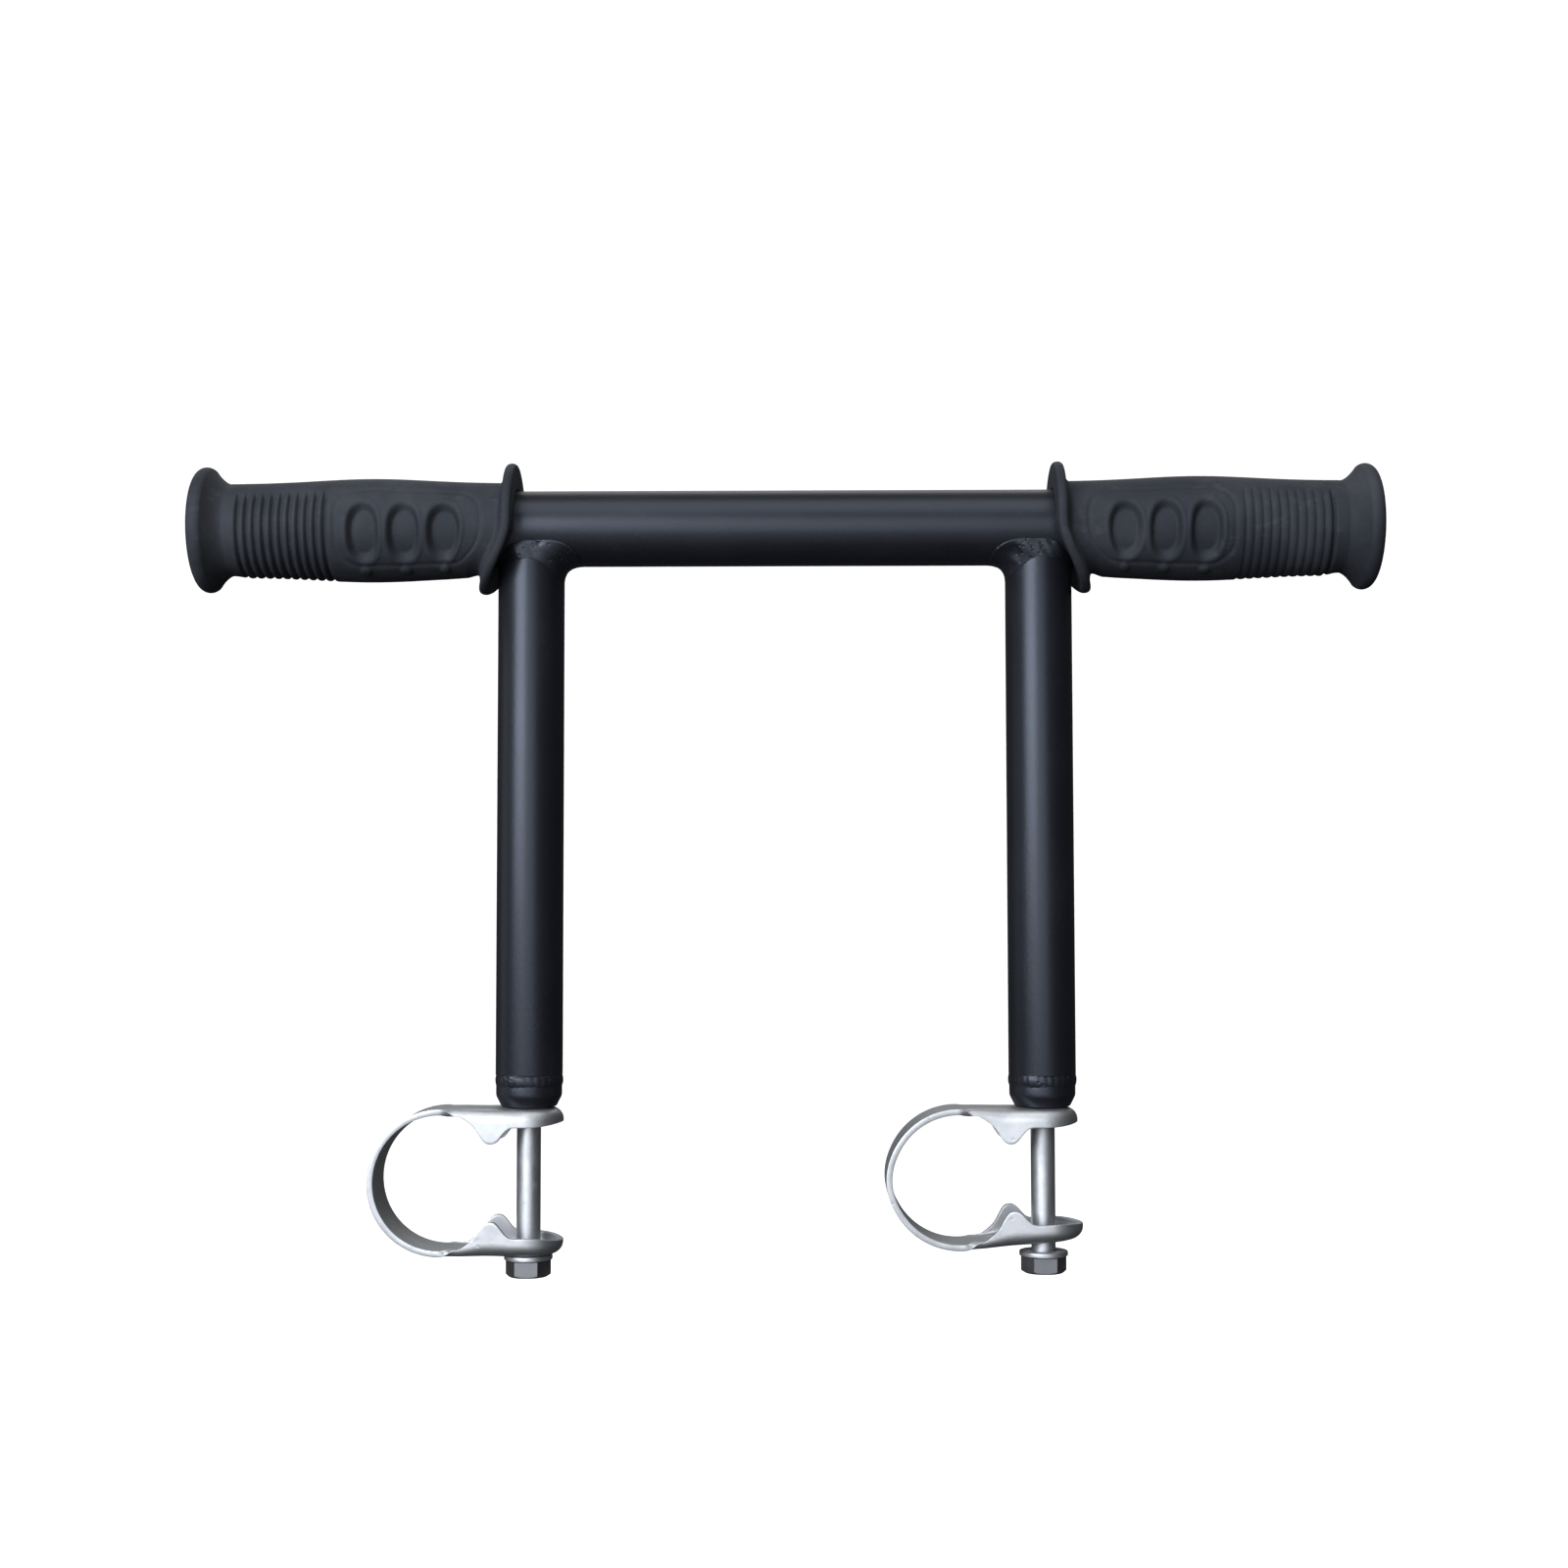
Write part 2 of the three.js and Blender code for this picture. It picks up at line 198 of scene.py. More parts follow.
def limits(node):
    """The least and the greatest corner of a node's box."""
    low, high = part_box(node)
    return np.array(low, float), np.array(high, float)


# ---------------------------------------------------------------- meshes

def quads(rows, columns, wrap_rows, wrap_columns):
    """Corner indices of the quads of a grid; a wrapped direction joins its last line to its first."""
    i, j = np.meshgrid(np.arange(rows - (not wrap_rows)), np.arange(columns - (not wrap_columns)),
                       indexing="ij")
    i2, j2 = (i + 1) % rows, (j + 1) % columns
    corners = [i * columns + j, i * columns + j2, i2 * columns + j2, i2 * columns + j]
    return np.stack(corners, axis=-1).reshape(-1, 4)


class Surface:
    """A grid of points [rows, columns, 3], wrapped or open each way, with some quads left out."""

    def __init__(self, points, wrap_rows=True, wrap_columns=True, keep=None):
        self.points = np.asarray(points, float)
        rows, columns = self.points.shape[:2]
        self.faces = quads(rows, columns, wrap_rows, wrap_columns)
        if keep is not None:
            self.faces = self.faces[keep.reshape(-1)[self.faces].any(axis=1)]


def make_piece(context, name, surfaces, sharp):
    """A mesh object from surfaces: doubled points merged, faces outward, smooth but for sharp edges."""
    points = np.concatenate([s.points.reshape(-1, 3) for s in surfaces])
    starts = np.cumsum([0] + [s.points.shape[0] * s.points.shape[1] for s in surfaces[:-1]])
    faces = np.concatenate([s.faces + start for s, start in zip(surfaces, starts)])
    mesh = bpy.data.meshes.new(name)
    mesh.from_pydata(points.tolist(), [], faces.tolist())
    work = bmesh.new()
    work.from_mesh(mesh)
    bmesh.ops.remove_doubles(work, verts=work.verts, dist=2e-6)
    bmesh.ops.dissolve_degenerate(work, dist=1e-7, edges=work.edges)
    loose = [v for v in work.verts if not v.link_faces]
    bmesh.ops.delete(work, geom=loose, context="VERTS")
    bmesh.ops.recalc_face_normals(work, faces=work.faces)
    work.to_mesh(mesh)
    work.free()
    mesh.shade_smooth()
    mesh.set_sharp_from_angle(angle=math.radians(sharp))
    obj = bpy.data.objects.new(name, mesh)
    context.scene.collection.objects.link(obj)
    return obj


def fit_piece(context, name, surfaces, body, node, slot, finish=None, sharp=38.0):
    """A piece with the finish named, or else its slot's finish, set on its body and put in place of its
    node.
    """
    obj = make_piece(context, name, surfaces, sharp)
    obj.data.materials.append(finish_of(context, finish or slot))
    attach(obj, body)
    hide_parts(node)
    return obj


def turned_z(profile, axis_xy, count=96):
    """An outline of (radius, z) turned about an upright axis: (x + r cos a, y + r sin a, z)."""
    radius, z = np.asarray(profile, float).T
    a = turn(count)
    x = axis_xy[0] + radius[:, None] * np.cos(a)
    y = axis_xy[1] + radius[:, None] * np.sin(a)
    return Surface(np.stack([x, y, np.broadcast_to(z[:, None], x.shape)], axis=-1))


def turned_x(profile, axis_yz, count=128):
    """An outline of (radius, x) turned about an axis along X: (x, y + r cos a, z + r sin a)."""
    radius, along = np.asarray(profile, float).T
    a = turn(count)
    y = axis_yz[0] + radius[:, None] * np.cos(a)
    z = axis_yz[1] + radius[:, None] * np.sin(a)
    return Surface(np.stack([np.broadcast_to(along[:, None], y.shape), y, z], axis=-1))


# ---------------------------------------------------------------- shader maths

class Value:
    """A shader socket that can be used in sums; each operator adds a Math node."""

    def __init__(self, graph, socket):
        self.graph = graph
        self.socket = socket

    def math(self, operation, *others):
        node = self.graph.tree.nodes.new("ShaderNodeMath")
        node.operation = operation
        for socket, value in zip(node.inputs, (self, *others)):
            self.graph.feed(socket, value)
        return Value(self.graph, node.outputs[0])

    def __add__(self, other):
        return self.math("ADD", other)

    def __sub__(self, other):
        return self.math("SUBTRACT", other)

    def __mul__(self, other):
        return self.math("MULTIPLY", other)

    def __rsub__(self, other):
        return self.graph.value(other).math("SUBTRACT", self)

    __radd__ = __add__
    __rmul__ = __mul__

    def ramp(self, low, high):
        """0 at low, 1 at high, eased between, and held outside."""
        node = self.graph.node("ShaderNodeMapRange", {"interpolation_type": "SMOOTHSTEP"},
                               {"Value": self, "From Min": low, "From Max": high})
        return Value(self.graph, node.outputs["Result"])


class Graph:
    """A material's node tree, built from the object's own coordinates."""

    def __init__(self, name):
        self.material = bpy.data.materials.new(name)
        self.material.use_nodes = True
        self.tree = self.material.node_tree
        self.tree.nodes.clear()
        self.coordinates = self.node("ShaderNodeTexCoord").outputs["Object"]

    def feed(self, socket, value):
        if isinstance(value, Value):
            value = value.socket
        if isinstance(value, bpy.types.NodeSocket):
            self.tree.links.new(value, socket)
        elif isinstance(value, (tuple, list)) and len(value) == 3 and len(socket.default_value) == 4:
            socket.default_value = (*value, 1.0)
        else:
            socket.default_value = value

    def node(self, kind, options=None, inputs=None):
        """Adds a node, sets its options, and feeds its inputs by name or place."""
        node = self.tree.nodes.new(kind)
        for key, value in (options or {}).items():
            setattr(node, key, value)
        for key, value in (inputs or {}).items():
            self.feed(node.inputs[key], value)
        return node

    def value(self, number):
        node = self.node("ShaderNodeValue")
        node.outputs[0].default_value = number
        return Value(self, node.outputs[0])

    def stretched(self, scale):
        """The object's coordinates multiplied by three numbers."""
        node = self.node("ShaderNodeVectorMath", {"operation": "MULTIPLY"},
                         {0: self.coordinates, 1: scale})
        return node.outputs[0]

    def noise(self, scale, detail=3.0, roughness=0.5, stretch=(1.0, 1.0, 1.0)):
        node = self.node("ShaderNodeTexNoise", {"noise_dimensions": "3D"},
                         {"Vector": self.stretched(stretch), "Scale": scale, "Detail": detail,
                          "Roughness": roughness})
        return Value(self, node.outputs[0])

    def scatter(self, scale):
        return self.node("ShaderNodeTexVoronoi", {"feature": "F1"},
                         {"Vector": self.coordinates, "Scale": scale})

    def cells(self, scale):
        """Distance from the nearest of many scattered points."""
        return Value(self, self.scatter(scale).outputs["Distance"])

    def flakes(self, scale):
        """A flat random number in each cell."""
        separate = self.node("ShaderNodeSeparateColor", None, {0: self.scatter(scale).outputs["Color"]})
        return Value(self, separate.outputs[0])

    def blend(self, first, second, amount):
        """A colour from first to second by an amount from 0 to 1."""
        node = self.node("ShaderNodeMix", {"data_type": "RGBA", "clamp_factor": True})
        self.feed(node.inputs["Factor"], amount)
        self.feed(node.inputs[6], first)
        self.feed(node.inputs[7], second)
        return node.outputs[2]

    def bump(self, height, distance, strength):
        inputs = {"Height": height, "Distance": distance, "Strength": strength}
        return self.node("ShaderNodeBump", None, inputs).outputs[0]

    def finish(self, **inputs):
        shader = self.node("ShaderNodeBsdfPrincipled")
        for key, value in inputs.items():
            self.feed(shader.inputs[key.replace("_", " ")], value)
        output = self.node("ShaderNodeOutputMaterial")
        self.tree.links.new(shader.outputs[0], output.inputs["Surface"])
        return self.material


# ---------------------------------------------------------------- materials

def paint_material(name, sizes, weld=0.0):
    """Satin black paint: orange peel, fine dust, rubbed patches; weld adds pits and ripples."""
    g = Graph(name)
    peel = g.noise(900.0, 2.0, 0.4)
    broad = g.noise(28.0, 4.0, 0.6)
    fine = g.noise(2600.0, 2.0, 0.7)
    specks = g.cells(850.0)
    dust = (1.0 - specks.ramp(0.05, 0.16)) * g.noise(60.0, 2.0).ramp(0.48, 0.66)
    scratches = g.noise(70.0, 5.0, 0.75, stretch=(6.0, 6.0, 0.6)).ramp(0.66, 0.74)
    base = g.blend(tuple(sizes.paint), tuple(sizes.paint_dust),
                   dust * 0.8 + broad.ramp(0.45, 0.8) * 0.06 + scratches * 0.10)
    roughness = 0.30 + broad * 0.12 + fine * 0.06 + scratches * 0.12 + dust * 0.2
    height = peel * 1.0 + fine * 0.12 + dust * 0.5
    if weld:
        pits = 1.0 - g.cells(620.0).ramp(0.10, 0.42)
        ripple = g.noise(520.0, 3.0, 0.6)
        pitted = pits * g.noise(240.0).ramp(0.45, 0.6)
        height = height * 0.4 + ripple * (2.2 * weld) - pitted * (5.0 * weld)
        roughness = roughness + pits * 0.15
    normal = g.bump(height, 0.00007, 0.55)
    return g.finish(Base_Color=base, Roughness=roughness, Metallic=0.0, Normal=normal, Coat_Weight=0.08,
                    Coat_Roughness=0.30, Specular_IOR_Level=0.5, Specular_Tint=(0.72, 0.81, 1.0, 1.0))


def rubber_material(name, sizes):
    """Matt moulded rubber: fine grain, grey bloom in patches, a few pale specks and rubbed spots."""
    g = Graph(name)
    grain = g.noise(3200.0, 3.0, 0.65)
    pebble = g.cells(1500.0)
    patches = g.noise(34.0, 5.0, 0.6)
    rubbed = g.noise(110.0, 4.0, 0.7, stretch=(0.7, 1.6, 1.6)).ramp(0.56, 0.76)
    lint = (1.0 - g.cells(420.0).ramp(0.03, 0.085)) * g.noise(85.0).ramp(0.5, 0.62)
    bloom = patches.ramp(0.38, 0.74) * 0.36 + rubbed * 0.26 + grain.ramp(0.45, 0.8) * 0.05 + lint * 0.7
    base = g.blend(tuple(sizes.rubber), tuple(sizes.rubber_dust), bloom)
    roughness = 0.62 + patches * 0.16 + grain * 0.08 - rubbed * 0.08
    height = grain * 0.7 + pebble * 0.7 + g.noise(240.0, 2.0) * 1.1
    normal = g.bump(height, 0.00009, 0.6)
    return g.finish(Base_Color=base, Roughness=roughness, Metallic=0.0, Normal=normal,
                    Specular_IOR_Level=0.42, Specular_Tint=(0.72, 0.81, 1.0, 1.0))


def zinc_material(name, sizes, plate, stretch, mottle=1.0):
    """Bright zinc plate: faint spangle, cloudy dull patches, drawing lines, small knocks and stains."""
    g = Graph(name)
    clouds = g.noise(95.0, 5.0, 0.62)
    spangle = g.flakes(700.0)
    lines = g.noise(320.0, 4.0, 0.7, stretch=stretch)
    knocks = 1.0 - g.cells(260.0).ramp(0.05, 0.22)
    stain = g.noise(210.0, 3.0, 0.7).ramp(0.60, 0.72)
    dull = clouds.ramp(0.38, 0.72) * (0.42 * mottle) + spangle * (0.12 * mottle) + stain * 0.22
    base = g.blend(tuple(getattr(sizes, plate)), tuple(sizes.zinc_dull), dull)
    roughness = 0.39 + clouds.ramp(0.3, 0.8) * 0.14 + lines * 0.10 + stain * 0.12
    height = lines * 0.9 - knocks * g.noise(130.0).ramp(0.5, 0.6) * 1.6 + spangle * 0.12
    normal = g.bump(height, 0.00006, 0.5)
    return g.finish(Base_Color=base, Roughness=roughness, Metallic=1.0, Normal=normal)


FINISHES = {  # slot: how the material is made, the group of its colours, and its own choices
    "frame_paint": (paint_material, "frame", {}),
    "weld_paint": (paint_material, "frame", {"weld": 1.0}),
    "grip_rubber": (rubber_material, "grip", {}),
    "zinc_strip": (zinc_material, "clamp", {"plate": "zinc", "stretch": (0.35, 3.0, 0.35)}),
    "zinc_fastener": (zinc_material, "clamp",
                      {"plate": "fastener", "stretch": (2.2, 2.2, 0.5), "mottle": 0.8}),
    "bolt_head_zinc": (zinc_material, "clamp",
                       {"plate": "head", "stretch": (1.0, 1.0, 1.0), "mottle": 0.3}),
}


def finish_of(context, name):
    """The finished material of this name, made the first time it is asked for."""
    make, group, choices = FINISHES[name]
    own = "finished_" + name
    return bpy.data.materials.get(own) or make(own, settings(context, group), **choices)


# ---------------------------------------------------------------- welded frame

COPE_CLEARANCE = 0.0003  # between a leg's coped end and the cross tube
BEAD_HIDDEN = 0.0008  # how far a bead's closed back lies inside the tubes
FOOT_BEAD = {"radius": 0.0023, "inset": 0.00215, "stretch": 1.25, "squareness": 0.6}
FOOT = {"tip": 0.0091, "chamfer": 0.0036, "shoulder": 0.0072, "step": 0.0018, "inset": 0.0002}


def tube_axis():
    """Height of the cross tube's axis and its outer radius."""
    low, high = limits("cross_tube")
    return (low[2] + high[2]) / 2, (high[2] - low[2]) / 2


def leg_axis(side):
    """X of a leg's axis and the leg tube's outer radius."""
    low, high = limits(side + "_leg_tube")
    return (low[0] + high[0]) / 2, (high[0] - low[0]) / 2


def leg_surface(side, wall, edge):
    """A tube coped to the cross tube: at angle a and radius r its top is axis - sqrt(R^2 - (r sin a)^2),
    and a height t of the outline lies at bottom + t (top - bottom)."""
    axis, tube = tube_axis()
    x, radius = leg_axis(side)
    bottom = limits(side + "_leg_tube")[0][2]
    span = axis - tube - bottom
    outline = rounded([(radius, 0), (radius, span), (radius - wall, span), (radius - wall, 0)], edge)
    r, height = outline[:, 0][:, None], outline[:, 1][:, None] / span
    a = turn(128)
    top = axis - np.sqrt((tube + COPE_CLEARANCE) ** 2 - (r * np.sin(a)) ** 2)
    z = bottom + height * (top - bottom)
    return Surface(np.stack([x + r * np.cos(a), r * np.sin(a), z], axis=-1))


def bead_surface(side, bead, extra):
    """The fillet along a coped joint: at angle a the seam S is (r cos a, r sin a, z), z the leg's top.
    The section runs from S + p down the leg to S + q along the cross tube by a quadratic curve, with
    lumps added outwards and pits taken away, and closes inside the two tubes."""
    axis, tube = tube_axis()
    x, radius = leg_axis(side)
    a = turn(260)[:, None]
    radial = np.stack([np.cos(a), np.sin(a), 0.0 * a], axis=-1)
    y = radius * np.sin(a)
    seam = radial * radius + np.stack([0.0 * a, 0.0 * a, axis - np.sqrt(tube ** 2 - y ** 2)], axis=-1)
    normal = np.stack([0.0 * a, y / tube, -np.sqrt(1.0 - (y / tube) ** 2)], axis=-1)
    along = radial - (radial * normal).sum(axis=-1, keepdims=True) * normal
    along /= np.linalg.norm(along, axis=-1, keepdims=True)
    down = np.array([0.0, 0.0, -1.0])

    inward = 0.5 - 0.5 * np.cos(a) * SIGN[side]
    corner = smoothstep(0.55, 1.0, inward)[..., None]
    small = smoothstep(0.05, 0.42, inward)[..., None]
    wander = lumps(seam, 0.0055, seed=4 + (SIGN[side] > 0))[..., None]
    shoulder = np.sin(2.0 * a)[..., None] ** 2 * small
    leg_reach = bead * (0.5 + 1.5 * small) + (extra - 0.5 * bead) * corner + bead * 0.16 * wander
    tube_reach = bead * (0.3 + 0.75 * shoulder) + 2.9 * extra * corner - bead * 0.10 * wander
    v = np.linspace(0.0, 1.0, 26)[None, :, None]
    first, last = seam + leg_reach * down, seam + tube_reach * along
    bulge = 0.50 - 0.46 * corner + 0.22 * small * (1 - corner)
    control = seam + bulge * (leg_reach * down + tube_reach * along)
    face = (1 - v) ** 2 * first + 2 * v * (1 - v) * control + v ** 2 * last
    swell = np.sin(math.pi * v) ** 0.7
    outward = radial + normal
    outward /= np.linalg.norm(outward, axis=-1, keepdims=True)
    lump = 0.00060 * lumps(face, 0.0036, seed=11) + 0.00012 * lumps(face, 0.0013, seed=12)
    pit = 0.00085 * smoothstep(0.40, 0.85, lumps(face, 0.0030, seed=15))
    rough = (lump - pit)[..., None]
    face = face + outward * swell * rough * (0.35 + 0.65 * small) * (1 - 0.85 * corner)
    inside = np.concatenate([last - BEAD_HIDDEN * normal, seam - BEAD_HIDDEN * outward,
                             first - BEAD_HIDDEN * radial], axis=1)
    points = np.concatenate([face, inside], axis=1)
    points[..., 0] += x
    return Surface(points)


def foot_weld_surface(side):
    """A ring bead in the groove above the foot. Its section is a squared-off circle, radius q + s c^k
    and height z + h s sin v, where c is cos v with its sign kept and s carries ripples and lumps."""
    x, radius = leg_axis(side)
    low, high = limits(side + "_foot_weld")
    z = (low[2] + high[2]) / 2
    a = turn(200)[:, None]
    v = turn(24)[None, :]
    wobble = lumps(np.stack([radius * np.cos(a), radius * np.sin(a), 0.0 * a], axis=-1), 0.005, seed=5)
    size = FOOT_BEAD["radius"] * (1.0 + 0.02 * np.sin(30.0 * a + np.sin(v)) + 0.10 * wobble)
    boxy = np.sign(np.cos(v)) * np.abs(np.cos(v)) ** FOOT_BEAD["squareness"]
    q = radius - FOOT_BEAD["inset"] + size * boxy + 0.00012 * wobble
    zz = z + 0.0002 * wobble + FOOT_BEAD["stretch"] * size * np.sin(v)
    return Surface(np.stack([x + q * np.cos(a), q * np.sin(a), zz], axis=-1))


def foot_plug_surface(side):
    """The turned plug: tip, chamfer, shoulder and spigot round the bolt's hole."""
    x, radius = leg_axis(side)
    low, high = limits(side + "_foot_plug")
    shoulder, spigot = radius - FOOT["inset"], radius - FOOT["step"]
    chamfer, ledge = low[2] + FOOT["chamfer"], low[2] + FOOT["shoulder"]
    outline = [(HOLE, low[2]), (FOOT["tip"], low[2]), (shoulder, chamfer), (shoulder, ledge),
               (spigot, ledge), (spigot, high[2]), (HOLE, high[2])]
    return turned_z(rounded(outline, [0.0003, 0.0004, 0.0007, 0.0004, 0.0002, 0.0003, 0.0003]), (x, 0.0))


class HANDBAR_OT_cross_tube(bpy.types.Operator):
    """Build the black cross tube"""
    bl_idname = "handbar.cross_tube"
    bl_label = "Cross tube"

    def execute(self, context):
        sizes = settings(context, "frame")
        axis, radius = tube_axis()
        low, high = limits("cross_tube")
        inner = radius - sizes.tube_wall
        outline = rounded([(inner, low[0]), (radius, low[0]), (radius, high[0]), (inner, high[0])],
                          sizes.edge_round)
        fit_piece(context, "cross_tube_finished", [turned_x(outline, (0.0, axis), 160)],
                  "frame", "cross_tube", "frame_paint")
        return {"FINISHED"}


class HANDBAR_OT_legs(bpy.types.Operator):
    """Build the two coped legs and their turned feet"""
    bl_idname = "handbar.legs"
    bl_label = "Legs and feet"

    def execute(self, context):
        sizes = settings(context, "frame")
        for side in SIDES:
            tube = leg_surface(side, sizes.tube_wall, sizes.edge_round)
            fit_piece(context, side + "_leg_finished", [tube], "frame", side + "_leg_tube", "frame_paint")
            fit_piece(context, side + "_foot_finished", [foot_plug_surface(side)],
                      "frame", side + "_foot_plug", "frame_paint")
        return {"FINISHED"}


class HANDBAR_OT_welds(bpy.types.Operator):
    """Build the lumpy beads at the top and foot of each leg"""
    bl_idname = "handbar.welds"
    bl_label = "Weld beads"

    def execute(self, context):
        sizes = settings(context, "frame")
        for side in SIDES:
            fit_piece(context, side + "_bead_finished", [bead_surface(side, sizes.bead, sizes.bead_inner)],
                      "frame", side + "_leg_weld", "frame_paint", finish="weld_paint", sharp=180.0)
            fit_piece(context, side + "_foot_bead_finished", [foot_weld_surface(side)],
                      "frame", side + "_foot_weld", "frame_paint", finish="weld_paint", sharp=180.0)
        return {"FINISHED"}


# ---------------------------------------------------------------- rubber grips

GROOVE_FIRST = 0.1809  # outermost groove, from the bar's middle
GROOVE_PITCH = 0.00291
GROOVE_WIDTH = 0.00065
GROOVE_ENDS = (120.0, 137.0)  # degrees round from the bottom where the grooves run out
RECESSES = np.array([(0.1391, 0.0056), (0.1257, 0.0056), (0.1124, 0.0058)])  # centre, half width
RECESS_TOP, RECESS_BOTTOM = 25.0, -50.0  # degrees above the front line
PANEL = {"start": 0.1002, "end": 0.1485, "top": 42.0, "bottom": -54.0, "corner": 0.009,
         "line": 0.00034, "line_width": 0.00070, "sink": 0.00020}
FLANGE = {"place": 0.0912, "radius": 0.0220, "half": 0.0016, "root": 0.0028,
          "push": 0.0100, "fall": 0.0120, "length": 0.022}
BORE, END_WALL = 0.0130, 0.0042
END_FACE = 0.0178  # radius of the flat of the end, inside its rounded rim
RIM = {"in": 0.0037, "half": 0.0032, "lift": 0.0033, "turn": 0.7}
DISH = {"start": 0.0056, "length": 0.0062, "radius": 0.0204, "power": 1.7}
BARREL_START = 0.0120  # where the barrel begins, inwards from the end face
SWELL_PLACE, SWELL_SPREAD = 0.138, 0.026
GRIP_PATTERN = {"left": (1.0, 0.7), "right": (0.32, 1.0)}  # strength of the grooves, and of the sag
BUMP = {"angle": -61.0, "radius": 0.0024, "height": 0.00075}


def grip_outline(outer, sizes):
    """The grip's section as (distance from the bar's middle, radius), from the end face's middle round
    the end flange, along the barrel, round the inner flange and back up the bore to the end wall."""
    r0 = sizes.end_radius
    flange, half, place = FLANGE["radius"], FLANGE["half"], FLANGE["place"]
    q = np.linspace(0.0, 1.0, 15)
    face = np.stack([outer - 0.0005 * q ** 6, END_FACE * q], axis=-1)
    bend = np.linspace(0.0, math.pi, 13)
    rim = np.stack([outer - RIM["in"] + RIM["half"] * np.cos(RIM["turn"] * bend),
                    END_FACE + RIM["lift"] * np.sin(RIM["turn"] * bend)], axis=-1)[1:]
    hollow = np.linspace(0.04, 1.0, 18)
    dish = np.stack([outer - DISH["start"] - DISH["length"] * hollow,
                     r0 + (DISH["radius"] - r0) * (1.0 - hollow) ** DISH["power"]], axis=-1)
    along = np.linspace(outer - BARREL_START, place + half + FLANGE["root"], 300)
    barrel = np.stack([along, np.full_like(along, r0)], axis=-1)
    root = np.linspace(0.05, 1.0, 9)
    rise = np.stack([place + half + 0.0025 * (1 - root) ** 2, r0 + (flange - 0.0011 - r0) * root ** 1.4],
                    axis=-1)
    lip = np.stack([place + half * np.cos(bend), flange - 0.0010 + 0.0010 * np.sin(bend)], axis=-1)
    back = np.stack([np.full(9, place - half), np.linspace(flange - 0.0015, BORE + 0.0004, 9)], axis=-1)
    inside = np.stack([np.linspace(place - half + 0.0004, outer - END_WALL, 40), np.full(40, BORE)],
                      axis=-1)
    end = np.stack([np.full(4, outer - END_WALL), np.linspace(BORE * 0.8, 0.0, 4)], axis=-1)
    parts = [face, rim, dish, barrel, rise, lip, back, inside, end]
    kinds = np.concatenate([np.full(len(p), i == 3) for i, p in enumerate(parts)])
    return np.concatenate(parts), kinds


def relief(along, degrees, radius, sizes, strength):
    """Height of the moulded pattern on the barrel at a distance along it and an angle above the front.
    Grooves: -d exp(-(gap / w)^2.4). Recesses: -d on the ovals q < 1, with a small bump under each.
    Panel: a fine line round a rounded box."""
    count = sizes.groove_count
    number = np.clip(np.round((GROOVE_FIRST - along) / GROOVE_PITCH), 0, count - 1)
    gap = along - (GROOVE_FIRST - number * GROOVE_PITCH)
    from_bottom = np.abs((degrees + 270.0) % 360.0 - 180.0)
    below = 1.0 - smoothstep(*GROOVE_ENDS, from_bottom)
    cut = np.exp(-(np.abs(gap) / GROOVE_WIDTH) ** 2.4)
    faint = np.where(number > 0, strength, 1.0)
    height = -sizes.groove_depth * cut * below * faint
    middle, half = (RECESS_TOP + RECESS_BOTTOM) / 2, (RECESS_TOP - RECESS_BOTTOM) / 2
    for place, width in RECESSES:
        q = np.sqrt(((along - place) / width) ** 2 + (np.abs(degrees - middle) / half) ** 2.6)
        height -= sizes.recess_depth * (1.0 - smoothstep(0.66, 1.0, q))
        height += 0.00018 * np.exp(-((q - 1.1) / 0.09) ** 2)
        bump = np.hypot(along - place, radius * np.radians(degrees - BUMP["angle"])) / BUMP["radius"]
        height += BUMP["height"] * (1.0 - smoothstep(0.40, 1.0, bump))
    across = radius * np.radians(degrees - (PANEL["top"] + PANEL["bottom"]) / 2)
    half_up = radius * np.radians((PANEL["top"] - PANEL["bottom"]) / 2)
    half_long = (PANEL["end"] - PANEL["start"]) / 2
    dx = np.abs(along - (PANEL["end"] + PANEL["start"]) / 2) - half_long + PANEL["corner"]
    dy = np.abs(across) - half_up + PANEL["corner"]
    box = np.hypot(np.maximum(dx, 0.0), np.maximum(dy, 0.0)) + np.minimum(np.maximum(dx, dy), 0.0)
    edge = box - PANEL["corner"]
    height -= PANEL["line"] * np.exp(-(edge / PANEL["line_width"]) ** 2)
    height -= PANEL["sink"] * (1.0 - smoothstep(-0.0006, 0.0, edge))
    return height


def pushed(along, y, height):
    """The weld behind the inner flange pushes the rubber outwards below the tube's axis:
    p (1 - exp(-(h / fall)^2)) (1 - 0.55 (y / R)^2), dying away along the sleeve."""
    depth = np.maximum(-height, 0.0)
    amount = FLANGE["push"] * (1.0 - np.exp(-(depth / FLANGE["fall"]) ** 2))
    amount = amount * (1.0 - 0.55 * np.minimum((y / FLANGE["radius"]) ** 2, 1.0))
    start = FLANGE["place"] + FLANGE["half"]
    return along + amount * (1.0 - smoothstep(start, start + FLANGE["length"], along))


def barrel_ends(along, outer):
    """1 along the barrel, easing to 0 where it meets the two flanges."""
    start, end = FLANGE["place"] + FLANGE["half"] + FLANGE["root"], outer - BARREL_START
    return smoothstep(start, start + 0.006, along) * (1.0 - smoothstep(end - 0.006, end, along))


